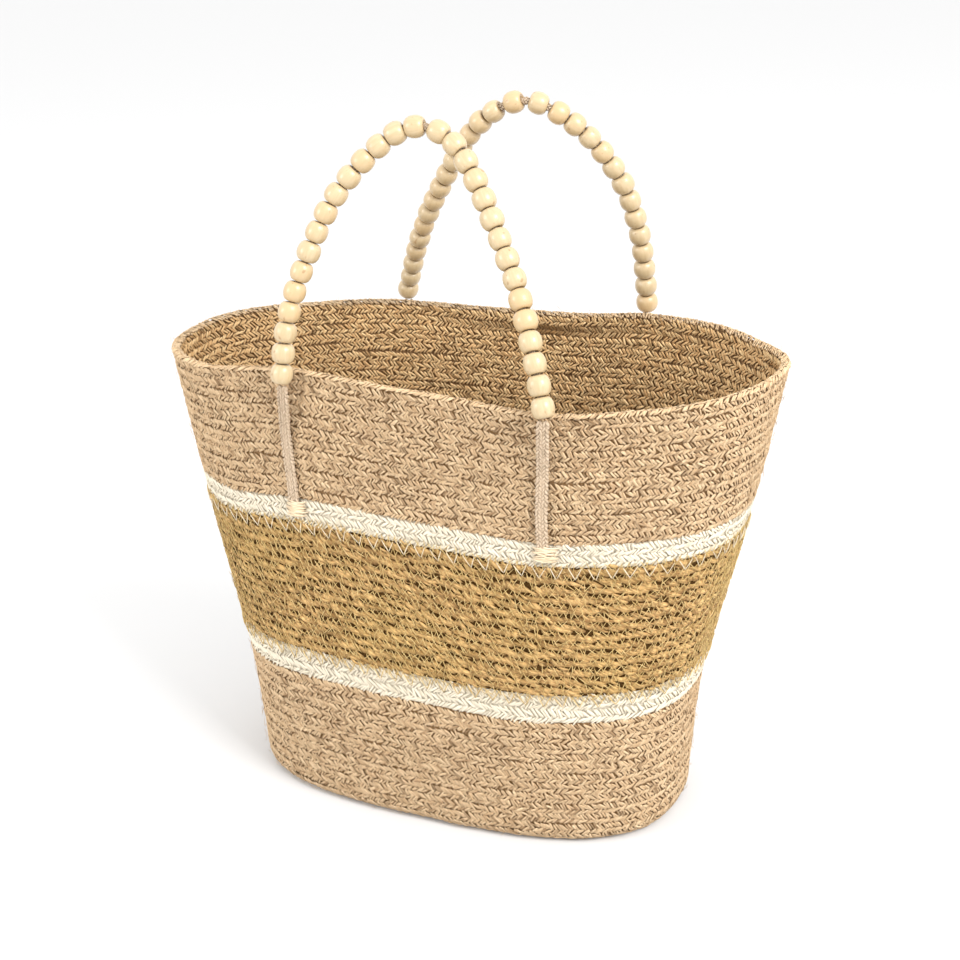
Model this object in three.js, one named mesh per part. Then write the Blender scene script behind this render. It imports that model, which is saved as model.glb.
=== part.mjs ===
// A straw basket bag: an oval wall wound from rows of braid in five bands, and two handles of wooden beads.
// Millimetres, +Z up, the long side along X, the front wall towards -Y, the origin under the bag's middle.
import * as THREE from 'three';

// Sizes of the bag, over all
const bagLength = 430; // rim, outside, end to end
const bagDepth = 190; // rim, outside, front to back
const bagHeight = 316; // floor to rim
const pieceGap = 0.3; // clearance between two pieces that touch

// Sizes of the wall
const wallThickness = 5.5;
const rowGroove = 0.9; // depth of the groove between two rows
const stepsRound = 28; // facets round the oval, a multiple of four
const bendWeight = 0.14; // share of bagLength that a radian of bend counts for when facets are shared out

// Sizes of the base
const baseThickness = 6.5;
const baseCrown = 2; // rise of its middle, inside the bag
const crownShoulder = { reach: 0.5, rise: 0.75 }; // halfway out it has three quarters of that rise
const baseRound = 1.6; // rounding of its lower edge

// Sizes of the handles
const beadCount = 30;
const beadDiameter = 14.8;
const beadNeckDiameter = 8.4; // where two beads meet on the cord
const beadTaper = 0.9; // share of its diameter that a bead keeps at its shoulders
const beadShoulder = 0.3; // from its middle, as a share of the distance between two beads
const beadSides = 10;
const seatClearance = 0.6; // lowest bead to wall
const handleSpan = 180; // between its feet
const handleRise = 160; // rim to the top of its middle line, along the leaning handle
const leanEase = 20; // length of handle over which the lean starts
const legWidth = 8;
const legThickness = 3;
const legClearance = 0.4; // leg to wall
const legOverlap = 4; // length of leg on the cream braid
const legSlope = 45; // height in which a leg comes in from its bead to the wall
const legSteps = 12;

// The plan of the wall at six heights. Height is a share of bagHeight, length and shiftX of half the
// bagLength, depth and shiftY of half the bagDepth. Front and back are powers that square the corners of
// that half of the oval: 2 is an ellipse.
const wallSections = [
  { height: 0, length: 0.722, depth: 0.99, front: 2.8, back: 2, shiftX: -0.011, shiftY: 0.034 },
  { height: 0.019, length: 0.732, depth: 1.014, front: 2.8, back: 2, shiftX: -0.011, shiftY: 0.033 },
  { height: 0.095, length: 0.74, depth: 1.033, front: 2.8, back: 2.03, shiftX: -0.01, shiftY: 0.031 },
  { height: 0.306, length: 0.772, depth: 1.064, front: 2.85, back: 2.1, shiftX: -0.008, shiftY: 0.024 },
  { height: 0.718, length: 0.916, depth: 1.011, front: 2.95, back: 2.24, shiftX: -0.003, shiftY: 0.01 },
  { height: 1, length: 1, depth: 1, front: 3, back: 2.34, shiftX: 0, shiftY: 0 },
];

// How the rim wanders. Turn is in degrees: 0 the right end, 90 the back, 270 the front. Lift is a share of
// bagHeight, swell (outwards) a share of half the bagDepth. Lower rows follow in part.
const rimWander = [
  { turn: 0, lift: 0.023, swell: -0.001 },
  { turn: 30, lift: 0.019, swell: 0.002 },
  { turn: 48, lift: 0.031, swell: -0.009 },
  { turn: 66, lift: 0.03, swell: -0.034 },
  { turn: 80, lift: 0.011, swell: -0.012 },
  { turn: 95, lift: 0.002, swell: 0.012 },
  { turn: 115, lift: 0.005, swell: 0.002 },
  { turn: 135, lift: -0.004, swell: -0.005 },
  { turn: 180, lift: -0.014, swell: -0.003 },
  { turn: 230, lift: -0.019, swell: 0.005 },
  { turn: 257, lift: 0.005, swell: -0.02 },
  { turn: 284, lift: -0.023, swell: 0.023 },
  { turn: 303, lift: -0.01, swell: 0.003 },
  { turn: 325, lift: 0.009, swell: -0.006 },
  { turn: 345, lift: 0.023, swell: -0.001 },
];
const wanderPower = 1.5; // how fast the wander dies out towards the floor

// The bands, from the floor up. From and to are shares of bagHeight, rows the rows of braid, innerSteps the
// facets up the plain inside.
const bands = [
  { name: 'lower_jute_band', from: 0, to: 0.306, rows: 12, innerSteps: 4, color: 0xc9a67c },
  { name: 'lower_cream_band', from: 0.306, to: 0.37, rows: 2, innerSteps: 1, color: 0xefe6d2 },
  { name: 'seagrass_band', from: 0.37, to: 0.666, rows: 14, innerSteps: 3, color: 0xa88446 },
  { name: 'upper_cream_band', from: 0.666, to: 0.718, rows: 2, innerSteps: 1, color: 0xefe6d2 },
  { name: 'upper_jute_band', from: 0.718, to: 1, rows: 12, innerSteps: 3, color: 0xc9a67c },
];

// The routes of the two handles through the middles of their beads: across along X as a share of half the
// handleSpan, up as a share of handleRise along the leaning handle, from the height of the rim.
const handleRoutes = {
  front: [
    { across: -0.974, up: 0.004 },
    { across: -0.951, up: 0.192 },
    { across: -0.877, up: 0.399 },
    { across: -0.623, up: 0.766 },
    { across: -0.184, up: 1.016 },
    { across: 0.114, up: 0.989 },
    { across: 0.656, up: 0.544 },
    { across: 0.802, up: 0.377 },
    { across: 0.954, up: 0.155 },
    { across: 1.031, up: -0.002 },
  ],
  back: [
    { across: -1.022, up: 0.057 },
    { across: -0.825, up: 0.332 },
    { across: -0.547, up: 0.613 },
    { across: -0.048, up: 0.979 },
    { across: 0.295, up: 1.053 },
    { across: 0.644, up: 0.926 },
    { across: 0.92, up: 0.683 },
    { across: 1.024, up: 0.433 },
    { across: 1.041, up: 0.253 },
    { across: 1.042, up: 0.099 },
  ],
};

// How far each handle tips towards the other one, per length of handle, at its left and at its right foot.
const handleLeans = {
  front: { left: 0.301, right: 0.453 },
  back: { left: 0.485, right: 0.294 },
};

// How far each leg strays along the wall on its way down: down as a share of its length, stray of legWidth.
const legStrays = {
  front_left_leg: [
    { down: 0, stray: 0 },
    { down: 0.2, stray: -0.25 },
    { down: 0.45, stray: -0.55 },
    { down: 0.7, stray: -0.375 },
    { down: 1, stray: -0.15 },
  ],
  front_right_leg: [
    { down: 0, stray: 0 },
    { down: 0.25, stray: -0.15 },
    { down: 0.5, stray: -0.34 },
    { down: 0.75, stray: -0.44 },
    { down: 1, stray: -0.33 },
  ],
  back_left_leg: [
    { down: 0, stray: 0 },
    { down: 1, stray: 0 },
  ],
  back_right_leg: [
    { down: 0, stray: 0 },
    { down: 1, stray: 0 },
  ],
};

const straw = (color) => new THREE.MeshStandardMaterial({ color, roughness: 0.9, metalness: 0 });
const beadWood = new THREE.MeshStandardMaterial({ color: 0xe6d2a8, roughness: 0.4, metalness: 0 });
const cordFibre = new THREE.MeshStandardMaterial({ color: 0xcbb9a0, roughness: 0.95, metalness: 0 });

// A smooth curve through one column of a table, read at any value of its key.
function readTable(rows, key, column, at) {
  let i = 0;
  while (i < rows.length - 2 && rows[i + 1][key] < at) i += 1;
  const slopeAt = (k) => {
    const low = rows[Math.max(k - 1, 0)];
    const high = rows[Math.min(k + 1, rows.length - 1)];
    return (high[column] - low[column]) / (high[key] - low[key]);
  };
  const span = rows[i + 1][key] - rows[i][key];
  const t = Math.min(Math.max((at - rows[i][key]) / span, 0), 1);
  const ease = t * t * (3 - 2 * t);
  const bend = t * (1 - t) * span * ((1 - t) * slopeAt(i) - t * slopeAt(i + 1));
  return rows[i][column] * (1 - ease) + rows[i + 1][column] * ease + bend;
}

// The wander table with its first and last rows repeated past the full turn, so that it closes on itself.
const wanderRound = [
  { ...rimWander.at(-1), turn: rimWander.at(-1).turn - 360 },
  ...rimWander,
  { ...rimWander[0], turn: rimWander[0].turn + 360 },
  { ...rimWander[1], turn: rimWander[1].turn + 360 },
];

const signedPower = (value, power) => Math.sign(value) * Math.abs(value) ** power;

// A point of the wall: turn round the oval in radians, height as a share, inset inwards from the outer face.
function wallPoint(turn, height, inset) {
  const read = (column) => readTable(wallSections, 'height', column, height);
  const degrees = THREE.MathUtils.euclideanModulo(THREE.MathUtils.radToDeg(turn), 360);
  const fade = height ** wanderPower;
  const lift = readTable(wanderRound, 'turn', 'lift', degrees) * fade * bagHeight;
  const swell = readTable(wanderRound, 'turn', 'swell', degrees) * fade * bagDepth / 2;
  const halfLength = read('length') * bagLength / 2 - inset;
  const halfDepth = read('depth') * bagDepth / 2 - inset + swell;
  const power = 2 / read(Math.sin(turn) < 0 ? 'front' : 'back');
  return new THREE.Vector3(
    signedPower(Math.cos(turn), power) * halfLength + read('shiftX') * bagLength / 2,
    signedPower(Math.sin(turn), power) * halfDepth + read('shiftY') * bagDepth / 2,
    height * bagHeight + lift,
  );
}

// The turns of the facets' edges: each quarter of the oval has as many, closer together where it bends.
function evenTurns() {
  const quarter = Math.PI / 2;
  const finePoints = 200;
  const turns = [];
  for (let q = 0; q < 4; q += 1) {
    const counted = [0];
    const points = [wallPoint(q * quarter, 0.5, 0).setZ(0)];
    for (let k = 1; k <= finePoints; k += 1) {
      points.push(wallPoint((q + k / finePoints) * quarter, 0.5, 0).setZ(0));
      const step = points[k].clone().sub(points[k - 1]);
      const before = k > 1 ? points[k - 1].clone().sub(points[k - 2]) : step;
      counted.push(counted[k - 1] + step.length() + step.angleTo(before) * bendWeight * bagLength);
    }
    for (let facet = 0; facet < stepsRound / 4; facet += 1) {
      const wanted = counted[finePoints] * facet * 4 / stepsRound;
      const k = Math.max(counted.findIndex((length) => length >= wanted), 0);
      turns.push((q + k / finePoints) * quarter);
    }
  }
  return turns;
}
const turnsRound = evenTurns();

// A lathe solid whose profile is laid round the oval instead of a circle: place gives the point of the
// profile's point j at one turn.
function woundSolid(profileLength, place) {
  const profile = Array.from({ length: profileLength }, (_, j) => new THREE.Vector2(1, j));
  const geometry = new THREE.LatheGeometry(profile, stepsRound);
  const position = geometry.attributes.position;
  for (let i = 0; i <= stepsRound; i += 1) {
    for (let j = 0; j < profileLength; j += 1) {
      const point = place(turnsRound[i % stepsRound], j);
      position.setXYZ(i * profileLength + j, point.x, point.y, point.z);
    }
  }
  geometry.computeVertexNormals();
  return geometry;
}

function namedMesh(name, geometry, material) {
  const mesh = new THREE.Mesh(geometry, material);
  mesh.name = name;
  return mesh;
}

// One band of the wall: a rib for each row of braid outside, plain inside.
function makeBand(band) {
  const low = band.from === 0 ? 0 : band.from + pieceGap / 2 / bagHeight;
  const high = band.to === 1 ? 1 : band.to - pieceGap / 2 / bagHeight;
  const profile = [];
  for (let k = 0; k <= band.rows * 2; k += 1) {
    const inset = k % 2 === 0 ? rowGroove : 0;
    profile.push({ height: low + (high - low) * k / (band.rows * 2), inset });
  }
  for (let k = band.innerSteps; k >= 0; k -= 1) {
    profile.push({ height: low + (high - low) * k / band.innerSteps, inset: wallThickness });
  }
  profile.push(profile[0]);
  const geometry = woundSolid(
    profile.length,
    (turn, j) => wallPoint(turn, profile[j].height, profile[j].inset),
  );
  return namedMesh(band.name, geometry, straw(band.color));
}

// The base: an oval plate inside the lowest row, flat below and slightly crowned above. Reach is the share
// of its outline, in is taken off all round.
function makeBase() {
  const rings = [
    { reach: 0, in: 0, up: 0 },
    { reach: 1, in: baseRound, up: 0 },
    { reach: 1, in: 0, up: baseRound },
    { reach: 1, in: 0, up: baseThickness },
    { reach: crownShoulder.reach, in: 0, up: baseThickness + baseCrown * crownShoulder.rise },
    { reach: 0, in: 0, up: baseThickness + baseCrown },
  ];
  const floor = wallSections[0];
  const middle = new THREE.Vector3(floor.shiftX * bagLength / 2, floor.shiftY * bagDepth / 2, 0);
  const geometry = woundSolid(rings.length, (turn, j) => {
    const ring = rings[j];
    const edge = wallPoint(turn, 0, wallThickness + pieceGap + ring.in);
    return middle.clone().lerp(edge, ring.reach).setZ(ring.up);
  });
  return namedMesh('base_panel', geometry, straw(0xc4a176));
}

// The turn at which the wall stands at a given place along X, on the front (side -1) or the back (side 1).
function turnAt(across, height, side) {
  const read = (column) => readTable(wallSections, 'height', column, height);
  const share = (across - read('shiftX') * bagLength / 2) / (read('length') * bagLength / 2);
  return side * Math.acos(signedPower(share, read(side < 0 ? 'front' : 'back') / 2));
}

// Where the outside of the wall stands at a place along X: its y, its height, and its slope seen from above.
function wallAt(across, height, side) {
  const here = wallPoint(turnAt(across, height, side), height, 0);
  const next = wallPoint(turnAt(across + 1, height, side), height, 0);
  return { y: here.y, z: here.z, slope: (next.y - here.y) / (next.x - here.x) };
}

// The y of a point that stands a given distance off the outside of the wall.
function offWall(across, height, side, distance) {
  const wall = wallAt(across, height, side);
  return wall.y + side * distance * Math.hypot(1, wall.slope);
}

// The middle line of one handle, from its left foot to its right foot. It rises straight at its feet, then
// leans over the bag.
function handleCurve(route, lean, side) {
  const seat = beadDiameter / 2 + seatClearance;
  const stations = route.map((row) => ({
    across: row.across * handleSpan / 2,
    up: row.up * handleRise,
  }));
  const left = stations[0];
  const right = stations.at(-1);
  const leftSeat = offWall(left.across, 1, side, seat);
  const rightSeat = offWall(right.across, 1, side, seat);
  const points = stations.map(({ across, up }) => {
    const share = (across - left.across) / (right.across - left.across);
    const leanHere = THREE.MathUtils.lerp(lean.left, lean.right, share);
    const inward = leanHere * up * Math.abs(up) / (Math.abs(up) + leanEase);
    const y = THREE.MathUtils.lerp(leftSeat, rightSeat, share) - side * inward;
    return new THREE.Vector3(across, y, bagHeight + Math.sqrt(1 - leanHere ** 2) * up);
  });
  return new THREE.CatmullRomCurve3(points, false, 'centripetal');
}

// One string: a straight lathe solid of all its beads, bent along the handle. The cord shows as the neck
// between two beads.
function makeBeadString(name, curve) {
  const length = curve.getLength();
  const pitch = length / (beadCount - 1);
  const rings = [{ along: -pitch / 2, radius: 0 }];
  for (let k = 0; k < beadCount; k += 1) {
    rings.push({ along: (k - 0.5) * pitch, radius: beadNeckDiameter / 2 });
    rings.push({ along: (k - beadShoulder) * pitch, radius: beadDiameter / 2 * beadTaper });
    rings.push({ along: k * pitch, radius: beadDiameter / 2 });
    rings.push({ along: (k + beadShoulder) * pitch, radius: beadDiameter / 2 * beadTaper });
  }
  rings.push({ along: length + pitch / 2, radius: beadNeckDiameter / 2 });
  rings.push({ along: length + pitch / 2, radius: 0 });

  const profile = rings.map(({ along, radius }) => new THREE.Vector2(radius, along));
  const geometry = new THREE.LatheGeometry(profile, beadSides);
  const position = geometry.attributes.position;
  const vertex = new THREE.Vector3();
  for (let v = 0; v < position.count; v += 1) {
    vertex.fromBufferAttribute(position, v);
    const { along } = rings[v % rings.length];
    const u = THREE.MathUtils.clamp(along / length, 0, 1);
    const tangent = curve.getTangentAt(u);
    const outward = new THREE.Vector3(0, 1, 0).addScaledVector(tangent, -tangent.y).normalize();
    const sideways = new THREE.Vector3().crossVectors(tangent, outward);
    const bent = curve.getPointAt(u)
      .addScaledVector(tangent, along - u * length)
      .addScaledVector(sideways, vertex.x)
      .addScaledVector(outward, vertex.z);
    position.setXYZ(v, bent.x, bent.y, bent.z);
  }
  geometry.computeVertexNormals();
  return namedMesh(name, geometry, beadWood);
}

// The flat end of a handle's cord, from its lowest bead down the outside of the wall to the cream band.
// It is made square to X, with its foot at the middle, and turned to lie on the wall.
function makeLeg(name, curve, end, side) {
  const foot = curve.getPointAt(end);
  const halfBead = curve.getLength() / (beadCount - 1) / 2;
  const tilt = curve.getTangentAt(end);
  const tippedBy = Math.hypot(tilt.x, tilt.y) * beadNeckDiameter / 2;
  const top = foot.z - Math.abs(tilt.z) * halfBead - tippedBy - pieceGap;
  const creamTop = bands.find((band) => band.name === 'upper_cream_band').to;
  const { z: creamEdge, slope } = wallAt(foot.x, creamTop, side);
  const turn = Math.atan(slope);
  const bottom = creamEdge - legOverlap;
  const strayAt = (z) => readTable(legStrays[name], 'down', 'stray', (top - z) / (top - bottom)) * legWidth;
  const flatOut = legThickness / 2 + legClearance;
  const points = [];
  for (let k = 0; k <= legSteps; k += 1) {
    const z = THREE.MathUtils.lerp(top, bottom, k / legSteps);
    const comeIn = THREE.MathUtils.smoothstep(top - z, 0, legSlope);
    const stray = strayAt(z);
    const wall = wallAt(foot.x + stray * Math.cos(turn), z / bagHeight, side);
    const footOut = side * (foot.y + stray * Math.sin(turn) - wall.y) / Math.hypot(1, wall.slope);
    points.push(new THREE.Vector3(0, side * comeIn * (flatOut - footOut), z));
  }
  const halfWidth = legWidth / 2;
  const halfThick = legThickness / 2;
  const edge = legThickness / 4;
  const section = new THREE.Shape([
    new THREE.Vector2(halfWidth, -edge),
    new THREE.Vector2(halfWidth, edge),
    new THREE.Vector2(halfWidth - edge, halfThick),
    new THREE.Vector2(edge - halfWidth, halfThick),
    new THREE.Vector2(-halfWidth, edge),
    new THREE.Vector2(-halfWidth, -edge),
    new THREE.Vector2(edge - halfWidth, -halfThick),
    new THREE.Vector2(halfWidth - edge, -halfThick),
  ]);
  const extrudePath = new THREE.CatmullRomCurve3(points, false, 'centripetal');
  const geometry = new THREE.ExtrudeGeometry(section, { steps: legSteps, extrudePath });
  const position = geometry.attributes.position;
  for (let v = 0; v < position.count; v += 1) position.setX(v, position.getX(v) + strayAt(position.getZ(v)));
  geometry.rotateZ(turn);
  const leg = namedMesh(name, geometry, cordFibre);
  leg.position.set(foot.x, foot.y, 0);
  return leg;
}

const bag = new THREE.Group();
bands.forEach((band) => bag.add(makeBand(band)));
bag.add(makeBase());
Object.entries(handleRoutes).forEach(([name, route]) => {
  const side = name === 'front' ? -1 : 1;
  const curve = handleCurve(route, handleLeans[name], side);
  bag.add(makeBeadString(`${name}_bead_string`, curve));
  bag.add(makeLeg(`${name}_left_leg`, curve, 0, side));
  bag.add(makeLeg(`${name}_right_leg`, curve, 1, side));
});

// The origin is the middle of the bag's footprint, on the floor.
const middle = new THREE.Box3().setFromObject(bag).getCenter(new THREE.Vector3());
bag.position.set(-middle.x, -middle.y, 0);

export default bag;
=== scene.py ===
import math

import bmesh
import bpy
import numpy as np
from mathutils import Matrix, Vector


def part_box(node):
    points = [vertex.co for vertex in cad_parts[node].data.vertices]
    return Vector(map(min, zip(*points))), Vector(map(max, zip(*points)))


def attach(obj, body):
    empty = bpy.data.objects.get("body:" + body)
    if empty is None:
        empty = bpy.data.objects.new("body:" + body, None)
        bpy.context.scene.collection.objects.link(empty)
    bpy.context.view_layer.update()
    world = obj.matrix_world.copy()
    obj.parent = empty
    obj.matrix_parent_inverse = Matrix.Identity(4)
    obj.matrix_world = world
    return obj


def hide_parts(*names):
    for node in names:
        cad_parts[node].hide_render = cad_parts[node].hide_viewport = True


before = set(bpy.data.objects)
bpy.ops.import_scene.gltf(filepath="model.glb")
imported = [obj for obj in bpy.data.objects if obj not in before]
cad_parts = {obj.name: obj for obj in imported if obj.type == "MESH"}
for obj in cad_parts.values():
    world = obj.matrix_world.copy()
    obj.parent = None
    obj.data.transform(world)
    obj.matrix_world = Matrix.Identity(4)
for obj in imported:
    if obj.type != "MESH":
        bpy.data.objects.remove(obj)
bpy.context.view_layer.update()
dice = np.random.default_rng(11)
print("frame loaded")

# The shape of the wall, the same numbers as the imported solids
bagShape = {
    "length": 0.430,
    "depth": 0.190,
    "height": 0.316,
    "wall": 0.0055,
    "baseThickness": 0.0065,
    "wanderPower": 1.5,
    "edgeRound": 0.0060,
}
# height, length, depth, corners in front, corners behind, shift along X, shift along Y
wallSections = np.array([
    (0, 0.722, 0.99, 2.8, 2, -0.011, 0.034),
    (0.019, 0.732, 1.014, 2.8, 2, -0.011, 0.033),
    (0.095, 0.74, 1.033, 2.8, 2.03, -0.01, 0.031),
    (0.306, 0.772, 1.064, 2.85, 2.1, -0.008, 0.024),
    (0.718, 0.916, 1.011, 2.95, 2.24, -0.003, 0.01),
    (1, 1, 1, 3, 2.34, 0, 0),
])
# turn in degrees, lift, swell
rimTurns = np.array([
    (0, 0.023, -0.001),
    (30, 0.019, 0.002),
    (48, 0.031, -0.009),
    (66, 0.03, -0.034),
    (80, 0.011, -0.012),
    (95, 0.002, 0.012),
    (115, 0.005, 0.002),
    (135, -0.004, -0.005),
    (180, -0.014, -0.003),
    (230, -0.019, 0.005),
    (257, 0.005, -0.02),
    (284, -0.023, 0.023),
    (303, -0.01, 0.003),
    (325, 0.009, -0.006),
    (345, 0.023, -0.001),
])
fullTurn = np.array([360, 0, 0])
rimWander = np.vstack([rimTurns[-1] - fullTurn, rimTurns, rimTurns[:2] + fullTurn])
# from and to as shares of the height, rows of braid
bandRows = {
    "lower_jute_band": (0, 0.306, 12),
    "lower_cream_band": (0.306, 0.37, 2),
    "seagrass_band": (0.37, 0.666, 14),
    "upper_cream_band": (0.666, 0.718, 2),
    "upper_jute_band": (0.718, 1, 12),
}


def bandLevels(band):
    low, high, rows = bandRows[band]
    return low * bagShape["height"], high * bagShape["height"], rows


def readTable(rows, column, at):
    keys = rows[:, 0]
    values = rows[:, column]
    last = len(keys) - 1
    low = np.maximum(np.arange(len(keys)) - 1, 0)
    high = np.minimum(np.arange(len(keys)) + 1, last)
    slopes = (values[high] - values[low]) / (keys[high] - keys[low])
    i = np.clip(np.searchsorted(keys[1:], at), 0, last - 1)
    span = keys[i + 1] - keys[i]
    t = np.clip((at - keys[i]) / span, 0, 1)
    ease = t * t * (3 - 2 * t)
    bend = t * (1 - t) * span * ((1 - t) * slopes[i] - t * slopes[i + 1])
    return values[i] * (1 - ease) + values[i + 1] * ease + bend


def signedPower(value, power):
    return np.sign(value) * np.abs(value) ** power


def wallPoint(turn, level, inset=0.0):
    # level is the height in metres before the rim's lift is added
    turn = np.asarray(turn, float)
    under = np.clip(1 - level / bagShape["edgeRound"], 0, 1)
    inset = inset + bagShape["edgeRound"] * (1 - np.sqrt(1 - under * under))
    share = level / bagShape["height"] + 0 * turn
    fade = np.clip(share, 0, None) ** bagShape["wanderPower"]
    degrees = np.degrees(turn) % 360
    lift = readTable(rimWander, 1, degrees) * fade * bagShape["height"]
    swell = readTable(rimWander, 2, degrees) * fade * bagShape["depth"] / 2
    halfLength = readTable(wallSections, 1, share) * bagShape["length"] / 2 - inset
    halfDepth = readTable(wallSections, 2, share) * bagShape["depth"] / 2 - inset + swell
    front = readTable(wallSections, 3, share)
    back = readTable(wallSections, 4, share)
    power = 2 / np.where(np.sin(turn) < 0, front, back)
    shiftX = readTable(wallSections, 5, share) * bagShape["length"] / 2
    shiftY = readTable(wallSections, 6, share) * bagShape["depth"] / 2
    x = signedPower(np.cos(turn), power) * halfLength + shiftX
    y = signedPower(np.sin(turn), power) * halfDepth + shiftY
    return np.stack([x, y, level + lift], axis=-1) + frameShift


baseLow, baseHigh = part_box("base_panel")
frameShift = np.array([
    (baseLow.x + baseHigh.x) / 2 - wallSections[0, 5] * bagShape["length"] / 2,
    (baseLow.y + baseHigh.y) / 2 - wallSections[0, 6] * bagShape["depth"] / 2,
    0,
])

# closer together at the ends of each quarter, where the oval's curve is steep in its turn
quarter = np.linspace(0, 1, 240, endpoint=False)
fineTurns = np.concatenate([(k + quarter * quarter * (3 - 2 * quarter)) * math.pi / 2 for k in range(4)])


class RowSurface:
    # A face of the bag that rows of braid lie on. A level is a row, a place is the distance along it.
    def __init__(self, pointAt, levels, outward, columns=720):
        self.levels = levels
        rows = []
        lengths = []
        for level in levels:
            line = pointAt(fineTurns, level)
            closed = np.vstack([line, line[:1]])
            along = np.append(0, np.cumsum(np.linalg.norm(np.diff(closed, axis=0), axis=1)))
            wanted = np.arange(columns) / columns * along[-1]
            rows.append(pointAt(np.interp(wanted, along, np.append(fineTurns, 2 * math.pi)), level))
            lengths.append(along[-1])
        self.grid = np.array(rows)
        self.lengths = np.array(lengths)
        around = np.roll(self.grid, -1, axis=1) - np.roll(self.grid, 1, axis=1)
        facing = np.cross(around, np.gradient(self.grid, axis=0)) * outward
        self.facing = facing / np.linalg.norm(facing, axis=2, keepdims=True)

    def lengthAt(self, level):
        return np.interp(level, self.levels, self.lengths)

    def settle(self, place, level, proud, rowLength):
        columns = self.grid.shape[1]
        a = place / rowLength % 1 * columns
        b = np.interp(level, self.levels, np.arange(len(self.levels)))
        i = np.floor(a).astype(int) % columns
        j = np.minimum(b.astype(int), len(self.levels) - 2)
        right = (a - np.floor(a))[..., None]
        above = (b - j)[..., None]
        after = (i + 1) % columns

        def between(field):
            low = field[j, i] * (1 - right) + field[j, after] * right
            high = field[j + 1, i] * (1 - right) + field[j + 1, after] * right
            return low * (1 - above) + high * above

        return between(self.grid) + between(self.facing) * proud[..., None]

    def placeAt(self, x, level, side):
        # the place on the front (side -1) or the back (side 1) that stands at x
        line = self.settle(np.arange(3600) / 3600, np.full(3600, level), np.zeros(3600), 1)
        middle = (line[:, 1].max() + line[:, 1].min()) / 2
        off = np.abs(line[:, 0] - x) + np.where((line[:, 1] - middle) * side > 0, 0, 1)
        return np.argmin(off) / 3600 * self.lengthAt(level)


rimRadius = bagShape["wall"] / 2
rimArc = math.pi * rimRadius
# a crease under the far rim, pressed into the inside only: degrees, metres below the rim
crease = {"turn": 80.0, "spread": 24.0, "below": 0.0130, "half": 0.0022, "deep": 0.0016}


def creaseAt(turn, level):
    around = np.exp(-((np.degrees(turn) % 360 - crease["turn"]) / crease["spread"]) ** 2)
    return around * np.exp(-((level - bagShape["height"] + crease["below"]) / crease["half"]) ** 2)


def insidePoint(turn, level):
    return wallPoint(turn, level, bagShape["wall"] - crease["deep"] * creaseAt(turn, level))


def rimPoint(turn, arc):
    # over the rim, from the outside through the top to the inside
    angle = np.clip(arc / rimRadius, 0, math.pi)
    past = abs(arc - angle * rimRadius)
    level = bagShape["height"] - rimRadius + rimRadius * math.sin(angle) - past
    return wallPoint(turn, level, rimRadius * (1 - math.cos(angle)))


wallLevels = np.linspace(-0.003, bagShape["height"] + 0.004, 160)
outerWall = RowSurface(wallPoint, wallLevels, 1)
innerWall = RowSurface(insidePoint, wallLevels, -1)
rimTop = RowSurface(rimPoint, np.linspace(-0.002, rimArc + 0.002, 26), 1)


def floorPoint(height):
    return lambda turn, level: wallPoint(turn, height, bagShape["wall"] + 0.0003 + level)


floorLevels = np.linspace(-0.006, 0.078, 60)
bottomFace = RowSurface(floorPoint(0), floorLevels, -1)
insideFloor = RowSurface(floorPoint(bagShape["baseThickness"]), floorLevels, 1)
print("wall laid out")


# Materials
class Signal:
    # one value inside a material; sums on it add the Math nodes
    def __init__(self, finish, socket):
        self.finish = finish
        self.socket = socket

    def maths(self, operation, *values):
        node = self.finish.add("ShaderNodeMath", {"operation": operation}, dict(enumerate(values)))
        return Signal(self.finish, node.outputs[0])

    def __add__(self, other):
        return self.maths("ADD", self, other)

    __radd__ = __add__

    def __sub__(self, other):
        return self.maths("SUBTRACT", self, other)

    def __rsub__(self, other):
        return self.maths("SUBTRACT", other, self)

    def __mul__(self, other):
        return self.maths("MULTIPLY", self, other)

    __rmul__ = __mul__

    def __pow__(self, other):
        return self.maths("POWER", self, other)

    def clamped(self):
        return self.maths("MINIMUM", self.maths("MAXIMUM", self, 0), 1)

    def stretched(self, low, high):
        # 0 at low and below, 1 at high and above
        return ((self - low) * (1 / (high - low))).clamped()


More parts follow.
